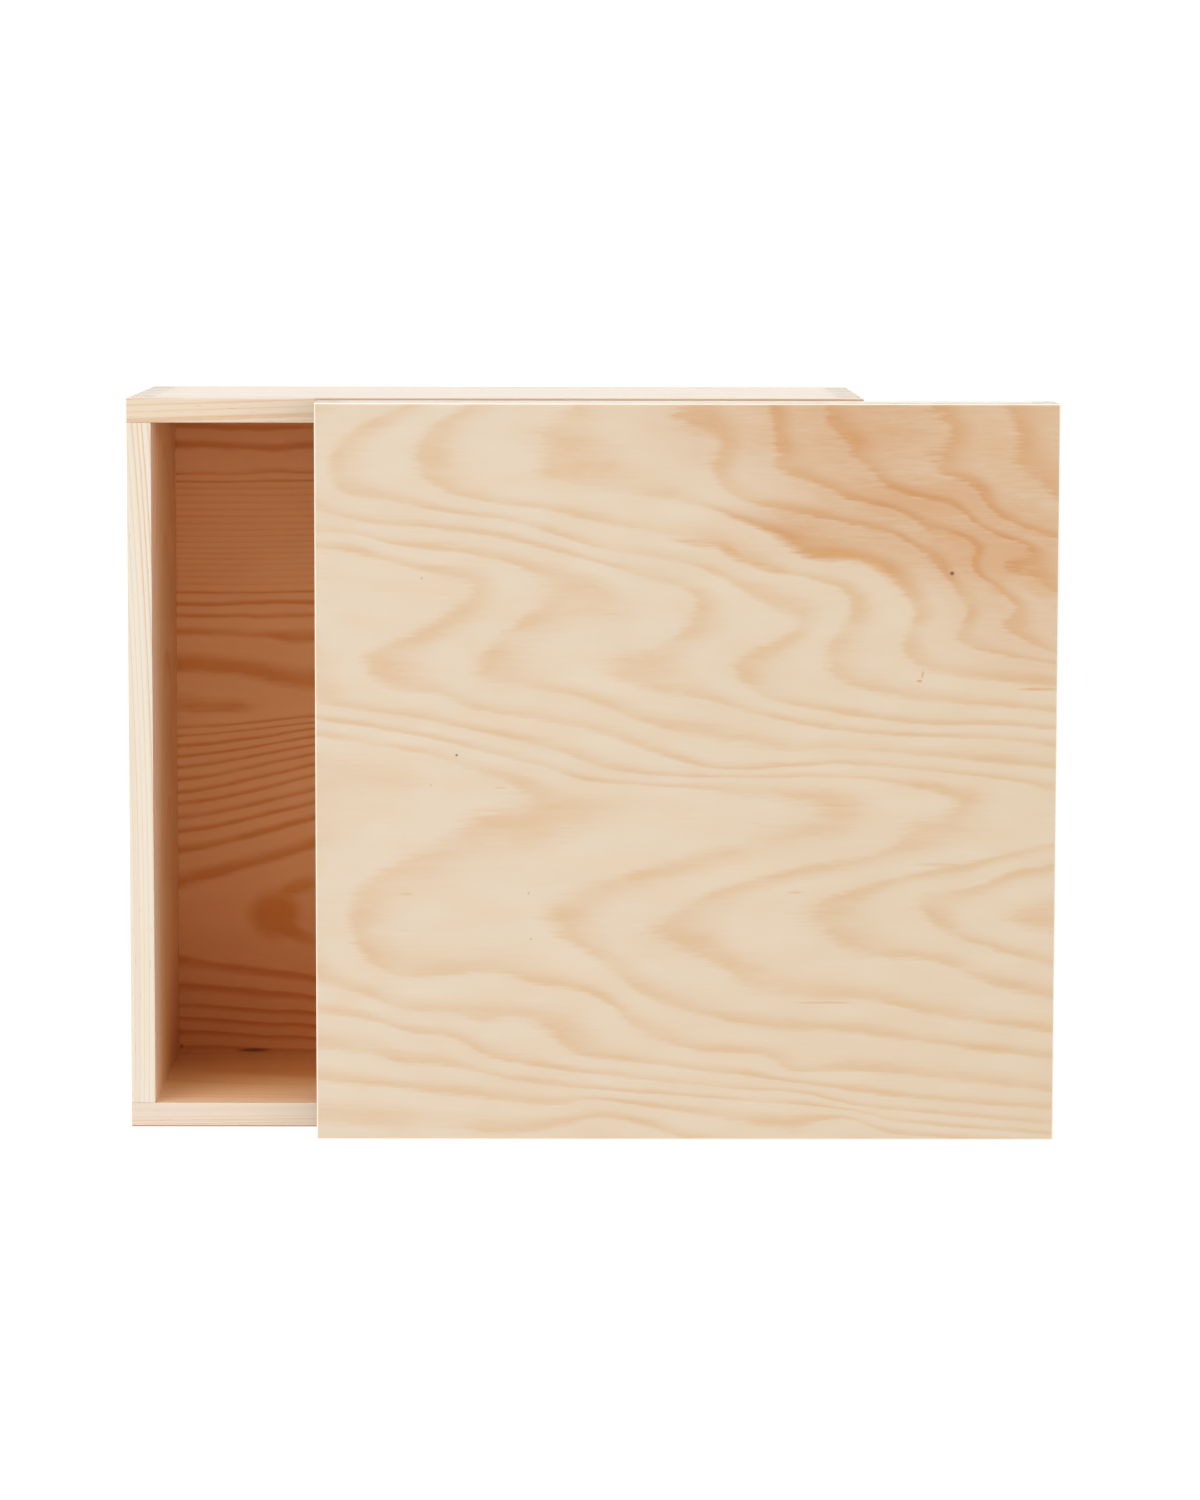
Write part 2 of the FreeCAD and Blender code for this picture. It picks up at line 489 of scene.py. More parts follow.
@dataclass(frozen=True)
class Spot:
    """A soft spot on a panel's face, such as a pin knot, a thread of resin or a flush of colour.

    Attributes:
        x: Its middle, in millimetres from the panel's left edge.
        z: Its middle, in millimetres from the panel's lower edge.
        width: Half its width, in millimetres.
        height: Half its height, in millimetres.
        strength: How strongly it shows.
        tilt: How far its right end is turned down, in degrees.
    """

    x: float
    z: float
    width: float
    height: float
    strength: float = 1.0
    tilt: float = 0.0

    def mask(self, paint: Paint, place: Signal, corner: Vector) -> Signal:
        """Where the spot is.

        Args:
            paint: The node tree.
            place: The point on the panel.
            corner: The panel's lowest corner.

        Returns:
            The spot's strength in its middle, falling to 0 at its edge.
        """
        turned = paint.signal("ShaderNodeMapping", {"vector_type": "TEXTURE"}, Vector=place,
                              Location=(corner.x + self.x * MM, corner.y, corner.z + self.z * MM),
                              Rotation=(0.0, math.radians(self.tilt), 0.0),
                              Scale=(self.width * MM, 1.0, self.height * MM))
        ball = paint.node("ShaderNodeTexGradient", {"gradient_type": "SPHERICAL"}, turned)
        return Signal(paint, ball.outputs["Fac"]).eased(0.0, 0.75) * self.strength


@dataclass(frozen=True)
class Veneer:
    """Pine-faced plywood, whose figure is stored on its mesh as ring numbers.

    Attributes:
        plies: How many plies show on its edges.
        light: The colour between the rings, at the left.
        far_light: The same at the right.
        ring_tint: What the colour is multiplied by in a ring's dark band, on the front face.
        rear_tint: The same on the rear face.
        ring_length: How much of a ring's width its dark band takes.
        ring_strength: How strongly the bands show, on the whole.
        fray: How many rings' widths the bands are frayed by along the grain.
        faint: The rings between these two numbers show less.
        flush: The colour of the places where the front face is warmer.
        flush_tint: What the colour is multiplied by in a dark band there.
        flushes: Those places.
        flush_from: The ring that the flushes begin at, if the growth lines bound them.
        resin: Threads and pockets of resin in the front face.
        pin_knots: Knots in the front face, no larger than a pin's head.
        painted_interior: The painted light and shade of the space that the panel closes off, if any.
        gloss: The strength of its plain reflection.
    """

    plies: int
    light: Colour
    far_light: Colour
    ring_tint: Colour
    rear_tint: Colour = (0.94, 0.82, 0.66, 1.0)
    ring_length: float = 0.55
    ring_strength: float = 0.8
    fray: float = 0.12
    faint: tuple[float, float] | None = None
    flush: Colour = shade(216, 168, 124)
    flush_tint: Colour = (0.9, 0.7, 0.45, 1.0)
    flushes: tuple[Spot, ...] = ()
    flush_from: float | None = None
    resin: tuple[Spot, ...] = ()
    pin_knots: tuple[Spot, ...] = ()
    painted_interior: PaintedInteriorLight | None = None
    gloss: float = 0.5

    def dress(self, name: str, low: Vector, high: Vector) -> bpy.types.Material:
        """Makes the material.

        Args:
            name: The material's name.
            low: The panel's lowest corner.
            high: The panel's highest corner.

        Returns:
            The material.
        """
        paint = Paint(bpy.data.materials.new(name))
        place = paint.place()
        across = Grain.ACROSS
        frayed = paint.noise(place, across.sizes(0.011, 0.0012), 3.0, 0.65)
        wavy = paint.noise(place, across.sizes(0.016, 0.0024), 2.0, 0.5)
        rings = paint.attribute("ring") + frayed * self.fray + wavy * 0.12
        year = rings.fraction()
        late = year.eased(0.0, 0.2) - year.eased(0.25 * self.ring_length, self.ring_length)
        strength = paint.noise(place, across.sizes(0.04, 0.009), 2.0) * 1.9 + self.ring_strength
        if self.faint:
            middle, reach = sum(self.faint) / 2, (self.faint[1] - self.faint[0]) / 2
            strength *= abs(rings - middle).eased(reach, reach + 0.2) * 0.6 + 0.4
        streak = paint.noise(place, across.sizes(0.03, 0.0011), 3.0, 0.65)
        fibre = paint.noise(place, across.sizes(0.007, 0.00035), 1.0)
        cloud = paint.noise(place, across.sizes(0.06, 0.02), 2.0)
        patch = paint.noise(place, across.sizes(0.028, 0.011), 3.0)
        x, y, _ = paint.split(place)
        rear = (y - low.y).eased(0.4 * (high.y - low.y), 0.6 * (high.y - low.y))
        colour = paint.mix(((x - low.x) / (high.x - low.x)).clamped(), self.light, self.far_light)
        warmth = (0.85 + cloud * 1.1 + frayed * 0.8) * self.total(paint, place, low, self.flushes)
        warmth = warmth.clamped() * (1 - rear)
        if self.flush_from:
            warmth *= rings.eased(self.flush_from, self.flush_from + 0.2) * 0.7 + 0.3
        colour = paint.mix(warmth, colour, self.flush)
        colour = paint.tinted((patch * 3 + 0.4).clamped(), colour, PATCH_TINT)
        tint = paint.mix(rear, paint.mix(warmth, self.ring_tint, self.flush_tint), self.rear_tint)
        shown = (late ** (1 + warmth) * (strength + warmth * 0.4)).clamped()
        colour = paint.tinted(shown, colour, tint)
        threads = (0.55 + streak * 2.2).clamped() * self.total(paint, place, low, self.resin)
        colour = paint.mix(threads * (1 - rear), colour, RESIN)
        knots = (1 - rear) * self.total(paint, place, low, self.pin_knots)
        colour = paint.mix(knots, colour, KNOT)
        colour = paint.lit(colour, 1 + streak * 0.05 + fibre * 0.03 + cloud * 0.05)
        # Painted light and shade of the box's interior, tinted into the wood.
        if self.painted_interior:
            colour = self.painted_interior.paint_light(paint, place, colour)
        colour = self.edges(paint, colour, place, (y - low.y) / (high.y - low.y))
        roughness = 0.4 + fibre * 0.14 - late * 0.05
        height = 0.5 + fibre * 0.5 + streak * 0.3 + late * 0.3
        return paint.surface(colour, roughness, height, FIBRE_RELIEF, self.gloss)

    @staticmethod
    def total(paint: Paint, place: Signal, corner: Vector, spots: tuple[Spot, ...]) -> Signal | float:
        """The sum of the spots' masks, for the panel's lowest corner; without spots, a plain 0."""
        return sum((spot.mask(paint, place, corner) for spot in spots), 0.0)

    def edges(self, paint: Paint, colour: Signal, place: Signal, depth: Signal) -> Signal:
        """Shows the plies on the panel's edges.

        Args:
            paint: The node tree.
            colour: The colour of the faces.
            place: The point on the panel.
            depth: How far it is from the front face, as a share of the panel's thickness.

        Returns:
            The colour with the plies.
        """
        across, through, _ = paint.facing()
        ply = depth * self.plies
        odd = (ply.floor() / 2).fraction() * 2
        glue = abs(ply.fraction() - 0.5).eased(0.41, 0.48)
        end_grain = abs(across.eased(0.4, 0.8) - odd)
        speckle = paint.noise(place, (0.0006, 0.0006, 0.0006), 2.0)
        ply_colour = paint.mix(end_grain, PLY_SIDE, PLY_END)
        ply_colour = paint.mix(glue * 0.5, ply_colour, PLY_GLUE)
        ply_colour = paint.lit(ply_colour, 1 + speckle * 0.16)
        # The rounded rim is painted paler: partly sanding wear, partly a painted highlight.
        rim_wear_and_highlight = 1 - through.eased(0.8, 0.99)
        colour = paint.mix(rim_wear_and_highlight * 0.75, colour, RIM_WEAR_AND_HIGHLIGHT)
        edge = 1 - through.eased(0.25, 0.6)
        return paint.mix(edge, colour, ply_colour)


@dataclass(frozen=True)
class BradSteel:
    """Bright drawn steel wire.

    Attributes:
        bright: Its colour where it is clean.
        dull: Its colour where it has tarnished.
    """

    bright: Colour = shade(186, 186, 184)
    dull: Colour = shade(120, 112, 104)

    def dress(self, name: str) -> bpy.types.Material:
        """Makes the material.

        Args:
            name: The material's name.

        Returns:
            The material.
        """
        paint = Paint(bpy.data.materials.new(name))
        place = paint.place()
        scratch = paint.noise(place, (0.0003, 0.002, 0.0003), 3.0)
        tarnish = paint.noise(place, (0.0009, 0.0009, 0.0009), 2.0).eased(0.0, 0.3)
        colour = paint.mix(tarnish * 0.5, self.bright, self.dull)
        roughness = 0.34 + scratch * 0.3 + tarnish * 0.15
        return paint.surface(colour, roughness, 0.5 + scratch, relief=0.02 * MM, metallic=1.0)


@dataclass(frozen=True)
class LightTable:
    """The plain white sheet that the box stands on, softly lit from below so that it shows no shadow.

    Attributes:
        light: The colour of the sheet's finest fibres.
        dark: The colour between them.
        glow: How much light comes up through it.
    """

    light: Colour = (0.42, 0.42, 0.42, 1.0)
    dark: Colour = (0.38, 0.38, 0.38, 1.0)
    glow: float = 0.8

    def dress(self, name: str) -> bpy.types.Material:
        """Makes the material.

        Args:
            name: The material's name.

        Returns:
            The material.
        """
        paint = Paint(bpy.data.materials.new(name))
        tooth = paint.noise(paint.place(), (0.001, 0.001, 0.001), 2.0)
        colour = paint.mix(tooth + 0.5, self.dark, self.light)
        roughness = 0.9 + tooth * 0.05
        sheet = paint.surface(colour, roughness, 0.5 + tooth, relief=0.01 * MM, gloss=0.0, glow=self.glow)
        sheet.cycles.emission_sampling = "NONE"
        return sheet


# Figures of the veneered faces


@dataclass(frozen=True)
class GrowthLine:
    """One growth line on a veneered face.

    Attributes:
        ring: The number of its ring.
        points: The points that it runs through, in millimetres from the face's lower left corner.
    """

    ring: float
    points: tuple[tuple[float, float], ...]

    def walk(self, step: float = 7.0) -> list[np.ndarray]:
        """Samples the smooth curve through the points.

        Args:
            step: The longest way between two samples, in millimetres.

        Returns:
            The samples.
        """
        given = np.array(self.points, float)
        path = np.vstack([2 * given[0] - given[1], given, 2 * given[-1] - given[-2]])
        samples = []
        for before, start, end, after in zip(path, path[1:], path[2:], path[3:]):
            count = max(1, math.ceil(np.linalg.norm(end - start) / step))
            for t in np.arange(count) / count:
                bend = 2 * before - 5 * start + 4 * end - after
                twist = 3 * start - before - 3 * end + after
                samples.append(start + 0.5 * (t * (end - before) + t ** 2 * bend + t ** 3 * twist))
        return [*samples, given[-1]]


def traced(*rows: tuple[Any, ...]) -> tuple[GrowthLine, ...]:
    """Makes a growth line of each row, which holds the number of its ring and then its points."""
    return tuple(GrowthLine(ring, tuple(points)) for ring, *points in rows)


@dataclass(frozen=True)
class Figure:
    """The figure of a veneered face: a smooth field of ring numbers through its growth lines.

    Attributes:
        lines: The growth lines.
        hints: Points between the lines as (x, z, ring), where the field would otherwise bulge.
        stretch: How much slower the field changes along the grain than across it.
        unit: The length that the field is worked out in, in millimetres.
        slack: How loosely the field is held to the lines.
    """

    lines: tuple[GrowthLine, ...]
    hints: tuple[Triple, ...] = ()
    stretch: float = 1.8
    unit: float = 100.0
    slack: float = 5e-5

    def at(self, points: np.ndarray) -> np.ndarray:
        """Evaluates the field, bent through the lines as a thin plate would be.

        Args:
            points: Points in millimetres from the face's lower left corner, one row each.

        Returns:
            The ring number at each point.
        """
        known = [(*place, line.ring) for line in self.lines for place in line.walk()]
        known = np.array([*known, *self.hints], float)
        scale = np.array((1.0, self.stretch)) / self.unit
        anchors = known[:, :2] * scale
        plate = self.bend(anchors, anchors) + self.slack * np.eye(len(anchors))
        plane = np.column_stack([np.ones(len(anchors)), anchors])
        system = np.block([[plate, plane], [plane.T, np.zeros((3, 3))]])
        weights = np.linalg.solve(system, np.concatenate([known[:, 2], np.zeros(3)]))
        placed = points * scale
        return self.bend(placed, anchors) @ weights[:-3] + weights[-3] + placed @ weights[-2:]

    @staticmethod
    def bend(points: np.ndarray, anchors: np.ndarray) -> np.ndarray:
        """The thin plate's own function of the distance between each point and each anchor."""
        squares = ((points[:, None] - anchors[None]) ** 2).sum(axis=2)
        return 0.5 * squares * np.log(np.maximum(squares, 1e-18))


class Turn(Enum):
    """How a figure is laid on a face."""

    AS_DRAWN = (False, False)
    UPSIDE_DOWN = (False, True)
    HALF_ROUND = (True, True)

    def lay(self, points: np.ndarray, size: np.ndarray) -> np.ndarray:
        """Turns points on a face of this size, one in each row, to where the drawn figure has them."""
        return np.where(self.value, size - points, points)


LID_FIGURE = Figure(
    lines=traced(
        (11, (274, 299), (277, 292), (279, 287), (277, 278), (278, 273), (288, 267), (291, 263),
         (299, 257)),
        (10, (243, 299), (244, 294), (250, 289), (249, 283), (242, 279), (245, 274), (251, 269), (262, 266),
         (268, 259), (273, 254), (286, 248), (299, 244)),
        (9, (202, 299), (204, 289), (211, 282), (214, 276), (222, 271), (226, 266), (240, 261), (256, 257),
         (264, 251), (271, 247), (285, 241), (277, 238), (275, 233), (278, 230), (285, 229), (291, 225),
         (299, 220)),
        (8, (180, 299), (183, 280), (182, 272), (190, 268), (202, 265), (213, 260), (228, 257), (238, 253),
         (244, 248), (256, 246), (264, 242), (263, 237), (264, 231), (272, 226), (275, 222), (280, 217),
         (274, 210), (287, 202), (299, 198)),
        (7, (140, 299), (140, 290), (146, 285), (159, 282), (155, 276), (158, 270), (163, 264), (176, 258),
         (208, 251), (224, 247), (234, 245), (241, 240), (250, 232), (255, 226), (257, 220), (261, 215),
         (256, 205), (266, 199), (299, 194)),
        (6, (99, 299), (87, 292), (77, 286), (86, 280), (84, 272), (90, 266), (103, 264), (150, 258),
         (172, 251), (182, 247), (190, 242), (198, 236), (212, 236), (225, 233), (230, 228), (239, 216),
         (235, 205), (234, 199), (240, 193), (254, 189), (299, 184)),
        (5, (60, 299), (45, 290), (37, 280), (39, 271), (51, 263), (67, 259), (95, 255), (118, 249),
         (155, 243), (166, 238), (172, 235), (190, 230), (209, 224), (213, 214), (204, 201), (204, 191),
         (214, 184), (240, 179), (299, 174)),
        (4, (34, 299), (15, 290), (5, 280), (4, 270), (13, 261), (35, 258), (55, 254), (79, 251),
         (115, 240), (155, 232), (182, 215), (192, 210), (181, 204), (165, 195), (181, 180), (236, 170),
         (276, 169), (299, 167)),
        (3, (1, 255), (23, 250), (47, 248), (75, 244), (115, 234), (135, 227), (150, 222), (148, 214),
         (137, 203), (106, 195), (135, 182), (155, 179), (208, 167), (276, 163), (299, 160)),
        (2, (1, 246), (15, 246), (35, 241), (75, 235), (88, 222), (66, 201), (61, 194), (67, 186),
         (105, 180), (143, 166), (188, 158), (216, 159), (299, 151)),
        (1, (1, 240), (15, 238), (51, 228), (60, 224), (35, 207), (19, 201), (17, 194), (23, 186),
         (35, 182), (53, 180), (63, 175), (107, 167), (147, 154), (171, 151), (216, 153), (276, 147),
         (299, 141)),
        (0, (1, 177), (43, 171), (91, 160), (131, 149), (220, 147), (254, 138), (238, 133), (232, 124),
         (221, 117), (196, 113), (156, 102), (131, 86), (141, 78), (160, 70), (172, 61), (188, 57),
         (224, 56), (249, 50), (299, 43)),
        (-1, (1, 171), (43, 164), (91, 152), (111, 146), (155, 143), (171, 139), (176, 132), (170, 123),
         (147, 118), (105, 106), (88, 95), (94, 84), (111, 74), (137, 56), (180, 45), (212, 43), (299, 32)),
        (-2, (1, 164), (43, 157), (57, 152), (77, 143), (59, 137), (51, 127), (18, 108), (11, 95), (13, 81),
         (21, 71), (34, 66), (55, 65), (71, 67), (87, 63), (107, 60), (119, 54), (131, 43), (152, 36),
         (180, 34), (192, 28), (221, 27), (299, 19)),
        (-3, (1, 63), (18, 59), (34, 53), (55, 51), (67, 47), (83, 48), (103, 35), (123, 32), (188, 24),
         (237, 17), (299, 12)),
        (-4, (1, 51), (22, 48), (38, 43), (55, 41), (79, 31), (164, 21), (196, 19), (225, 13), (299, 6)),
        (-5, (1, 36), (22, 34), (34, 30), (55, 29), (93, 22), (156, 17), (217, 12), (237, 7), (299, 2)),
        (-6, (1, 23), (34, 20), (75, 15), (99, 14), (115, 16), (156, 9), (196, 1)),
        (-7, (1, 5), (26, 3), (50, 4), (75, 1)),
        (1, (299, 123), (216, 104), (187, 93), (196, 87), (210, 77), (224, 73), (249, 72), (277, 61),
         (299, 57)),
        (2, (299, 114), (281, 111), (267, 105), (248, 102), (239, 99), (246, 89), (259, 82), (299, 70)),
        (3, (299, 102), (285, 98), (275, 91), (285, 86), (299, 83)),
    ),
    hints=((2, 219, 0.75), (2, 203, 0.5), (6, 187, 0.35), (2, 138, -2.55), (4, 118, -2.5), (1, 97, -2.4),
           (2, 77, -2.5), (120, 278, 6.4), (99, 278, 6.2), (51, 278, 5.35), (299, 133, 0.6), (277, 133, 0.7),
           (99, 130, -1.6), (136, 132, -1.3)),
)

BACK_FIGURE = Figure(
    lines=traced(
        (40, (0, 276.2), (18, 275.8), (38, 274.7), (58, 275.8), (289, 278)),
        (39, (0, 266.8), (18, 267.3), (38, 266.2), (58, 266.8), (289, 270)),
        (38, (0, 256), (31, 256), (58, 256.6), (289, 260)),
        (37, (0, 253), (58, 253.4), (289, 257)),
        (29, (0, 229.5), (58, 229.9), (289, 235)),
        (20, (0, 204.8), (58, 205.3), (289, 212)),
        (19, (0, 199.5), (18, 199.1), (44, 200.3), (64, 200), (289, 208)),
        (18, (0, 194.5), (31, 194.4), (64, 194.6), (289, 204)),
        (17, (0, 186.4), (18, 186), (44, 185), (64, 182.6), (170, 188), (289, 194)),
        (16, (0, 163), (31, 162), (64, 159), (170, 172), (289, 178)),
        (15, (0, 145.5), (31, 147.6), (64, 151), (170, 160), (289, 166)),
        (14, (0, 142), (18, 143.4), (31, 144.8), (58, 148), (80, 150)),
        (13, (0, 137.2), (18, 138.6), (44, 142.1), (58, 145), (80, 147.6)),
        (12, (0, 132.4), (31, 136.4), (58, 141.2), (110, 148), (170, 154), (289, 160)),
        (11, (0, 128), (18, 129.8), (44, 134.8), (64, 138.6)),
        (10, (0, 122.4), (18, 124.5), (44, 130.3), (64, 134.4)),
        (9, (0, 116.6), (18, 119.2), (44, 124.9), (64, 129.8)),
        (8, (0, 112), (18, 114), (44, 119.7), (64, 125), (110, 134), (170, 142), (289, 150)),
        (7, (0, 105.6), (18, 107.8), (44, 113.6), (64, 118.6)),
        (6, (0, 99.4), (18, 101.9), (44, 107.9), (64, 113)),
        (5, (0, 89.8), (18, 93), (44, 99.7), (64, 105.6), (110, 117), (170, 128), (289, 137)),
        (4, (0, 73.6), (7, 75.1), (31, 82.3), (64, 92.6), (110, 106), (170, 119), (289, 130)),
        (3.6, (289, 121), (230, 118), (170, 112), (110, 98), (64, 82), (47, 74), (39, 67), (49, 56),
         (64, 50), (110, 38), (170, 28), (289, 18)),
        (3.5, (289, 110), (170, 100), (110, 85), (80, 68), (110, 50), (170, 40), (289, 30)),
        (3, (289, 100), (200, 94), (150, 84), (125, 70), (150, 57), (200, 49), (289, 42)),
        (2, (289, 89), (200, 80), (175, 70), (200, 61), (289, 54)),
        (1, (289, 80), (250, 77), (228, 71), (250, 65), (289, 62)),
        (4, (0, 49), (7, 48.2), (18, 45.6), (44, 42.2), (64, 39), (110, 27), (170, 18), (289, 9)),
        (5, (0, 36.4), (18, 35), (44, 32.4), (64, 30), (110, 19), (170, 10), (289, 2)),
        (6, (0, 26.4), (18, 26), (44, 23.7), (64, 22.6), (110, 12), (170, 5), (230, 0)),
        (7, (0, 20.6), (18, 20), (44, 17.8), (64, 17), (110, 7), (150, 2)),
        (8, (0, 15), (18, 14.2), (44, 12.3), (64, 11.4), (110, 3)),
        (9, (0, 7.6), (18, 8), (44, 6.5), (64, 6.2), (90, 3)),
    ),
)


# Meshes


def add_object(name: str, data: bpy.types.ID) -> bpy.types.Object:
    """Adds an object to the scene.

    Args:
        name: Its name.
        data: Its mesh, camera or light.

    Returns:
        The object.
    """
    made = bpy.data.objects.new(name, data)
    bpy.context.scene.collection.objects.link(made)
    return made


def round_edges(shape: bmesh.types.BMesh, edges: list[bmesh.types.BMEdge], radius: float,
                segments: int) -> list[bmesh.types.BMFace]:
    """Rounds some edges of a shape.

    Args:
        shape: The shape.
        edges: The edges.
        radius: How far the rounding reaches from them.
        segments: How many faces there are across it.

    Returns:
        The faces of the rounding.
    """
    made = bmesh.ops.bevel(shape, geom=edges, offset=radius, offset_type="OFFSET", segments=segments,
                           profile=0.5, affect="EDGES", clamp_overlap=True, material=-1)
    return made["faces"]


@dataclass(frozen=True)
class Board:
    """A piece of solid wood, worked up from its frame node.

    Attributes:
        node: The frame node that it stands for.
        pine: The wood that it is cut from.
    """

    node: str
    pine: SolidPine


@dataclass(frozen=True)
class Joiner:
    """Makes finished pieces for one body of the frame.

    Attributes:
        body: The body that the pieces ride on.
        nodes: The frame nodes of that body, which touch each other.
        ease: How far bare edges are sanded off.
        weld: Corners that are nearer to each other than this become one.
        flat: Faces that turn by less than this become one, in degrees.
        sharp: Edges that turn by less than this stay as they are, in degrees.
        short: Edges that are shorter than this stay as they are.
        touch: Edges whose neighbour is nearer than this aren't bare.
        cell: The width of the cells of a panel's mesh.
    """

    body: str
    nodes: tuple[str, ...]
    ease: float = 0.4 * MM
    weld: float = 0.01 * MM
    flat: float = 1.0
    sharp: float = 30.0
    short: float = 3 * MM
    touch: float = 0.4 * MM
    cell: float = 2.4 * MM

    def board(self, board: Board) -> bpy.types.Object:
        """Makes a board with its bare edges eased.

        Args:
            board: What is made.

        Returns:
            The piece.
        """
        shape = bmesh.new()
        shape.from_mesh(frame["nodes"][board.node].data)
        bmesh.ops.remove_doubles(shape, verts=shape.verts, dist=self.weld)
        bmesh.ops.dissolve_limit(shape, angle_limit=math.radians(self.flat), verts=shape.verts,
                                 edges=shape.edges)
        wear = shape.faces.layers.float.new("arris")
        for face in round_edges(shape, self.bare_edges(shape, board.node), self.ease, segments=2):
            face[wear] = 1.0
        return self.piece(shape, board.node, board.pine.dress(f"pine_{board.node}"))

    def bare_edges(self, shape: bmesh.types.BMesh, node: str) -> list[bmesh.types.BMEdge]:
        """Finds the outward edges that no neighbour touches.

        Args:
            shape: The board.
            node: Its frame node.

        Returns:
            The edges.
        """
        neighbours = []
        for other in self.nodes:
            if other != node:
                mesh = frame["nodes"][other].data
                corners = [vertex.co for vertex in mesh.vertices]
                faces = [tuple(face.vertices) for face in mesh.polygons]
                neighbours.append(BVHTree.FromPolygons(corners, faces))
        bare = []
        least_turn = math.radians(self.sharp)
        for edge in shape.edges:
            outward = edge.is_manifold and edge.is_convex and edge.calc_face_angle() > least_turn
            if outward and edge.calc_length() > self.short:
                middle = (edge.verts[0].co + edge.verts[1].co) / 2
                if all(tree.find_nearest(middle, self.touch)[0] is None for tree in neighbours):
                    bare.append(edge)
        return bare

    def panel(self, node: str, finish: Veneer, front: Figure, rear: tuple[Figure, Turn],
              arris: float) -> bpy.types.Object:
        """Makes a veneered panel with the ring numbers of both faces stored on it.

        Args:
            node: The frame node that it stands for.
            finish: The plywood.
            front: The figure of the face towards the front.
            rear: The figure of the other face, and how it is laid.
            arris: The radius that the front edges are rounded to.

        Returns:
            The piece.
        """
        low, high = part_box(node)
        size = high - low
        shape = bmesh.new()
        for y, turn in ((low.y, 90), (high.y, -90)):
            stand = (Matrix.Translation(((low.x + high.x) / 2, y, (low.z + high.z) / 2))
                     @ Matrix.Diagonal((size.x, 1.0, size.z, 1.0))
                     @ Matrix.Rotation(math.radians(turn), 4, "X"))
            bmesh.ops.create_grid(shape, x_segments=round(size.x / self.cell),
                                  y_segments=round(size.z / self.cell), size=0.5, matrix=stand)
        rims = [edge for edge in shape.edges if edge.is_boundary]
        bmesh.ops.bridge_loops(shape, edges=rims)
        bmesh.ops.recalc_face_normals(shape, faces=shape.faces)
        if arris:
            half_way = low.y + size.y / 2
            front_rim = [edge for edge in rims if all(vertex.co.y < half_way for vertex in edge.verts)]
            round_edges(shape, front_rim, arris, segments=3)
        self.store_rings(shape, low, size, front, rear)
        return self.piece(shape, node, finish.dress(f"veneer_{node}", low, high))

    @staticmethod
    def store_rings(shape: bmesh.types.BMesh, low: Vector, size: Vector, front: Figure,
                    rear: tuple[Figure, Turn]) -> None:
        """Stores each vertex's ring number on the mesh.

        Args:
            shape: The panel.
            low: Its lowest corner.
            size: Its size.
            front: The figure of the front face.
            rear: The figure of the rear face, and how it is laid.
        """
        layer = shape.verts.layers.float.new("ring")
        is_front = [vertex.co.y < low.y + size.y / 2 for vertex in shape.verts]
        for wanted, figure, turn in ((True, front, Turn.AS_DRAWN), (False, *rear)):
            chosen = [vertex for vertex, on_front in zip(shape.verts, is_front) if on_front == wanted]
            places = np.array([(vertex.co - low).xz for vertex in chosen]) / MM
            rings = figure.at(turn.lay(places, np.array(size.xz) / MM))
            for vertex, ring in zip(chosen, rings):
                vertex[layer] = ring

    def piece(self, shape: bmesh.types.BMesh, node: str, material: bpy.types.Material) -> bpy.types.Object:
        """Turns a shape into the piece that stands for a frame node.

        Args:
            shape: The shape, which is used up.
            node: The frame node.
            material: The finish.

        Returns:
            The piece.
        """
        mesh = bpy.data.meshes.new(f"{node}_finished")
        shape.to_mesh(mesh)
        shape.free()
        mesh.materials.clear()
        mesh.materials.append(material)
        made = add_object(mesh.name, mesh)
        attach(made, self.body)
        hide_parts(node)
        return made


# Sub-assemblies


